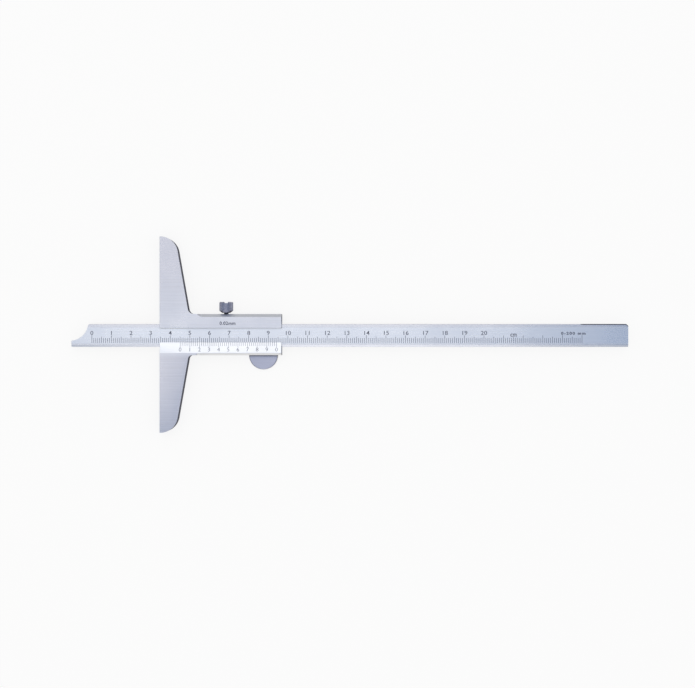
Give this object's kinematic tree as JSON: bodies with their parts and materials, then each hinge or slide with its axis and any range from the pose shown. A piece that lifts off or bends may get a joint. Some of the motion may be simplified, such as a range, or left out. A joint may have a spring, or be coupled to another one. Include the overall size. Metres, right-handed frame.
{
  "type": "vernier depth gauge",
  "caption": "Vernier depth gauge: tapered bridge base made in one with its slider, graduated beam with a relieved tip, knurled lock screw and half-moon thumb tab.",
  "frame": {"origin": "middle of the base's measuring face, on the plane of the gauge's back", "axes": "+X runs back from the measuring face along the beam, +Y along the measuring face towards the lock screw, +Z out of the graduated face"},
  "size_m": [0.284, 0.1, 0.0071],
  "materials": {
    "base_steel": "fine ground stainless steel, satin on the vernier face",
    "beam_steel": "satin graduated face between ground guide strips",
    "gib_bronze": "plain rolled strip",
    "small_screw_steel": "darkened steel",
    "lock_screw_steel": "darkened steel, knurled",
    "tab_steel": "ground steel, a little darker than the base"
  },
  "bodies": {
    "frame": {"base_frame": "base_steel", "gib_strip": "gib_bronze", "gib_screws": "small_screw_steel", "thumb_tab": "tab_steel", "tab_screws": "small_screw_steel"},
    "rule": {"beam": "beam_steel"},
    "clamp": {"lock_screw": "lock_screw_steel"}
  },
  "joints": [
    {"name": "beam_slide", "type": "slide", "parent": "frame", "child": "rule", "axis": [-1, 0, 0], "range_m": [-0.0452, 0.1548]},
    {"name": "lock_screw_turn", "type": "hinge", "parent": "frame", "child": "clamp", "pos_m": [0.0336, 0.0105, 0.00365], "axis": [0, 1, 0], "range_deg": [0, 360]}
  ]
}
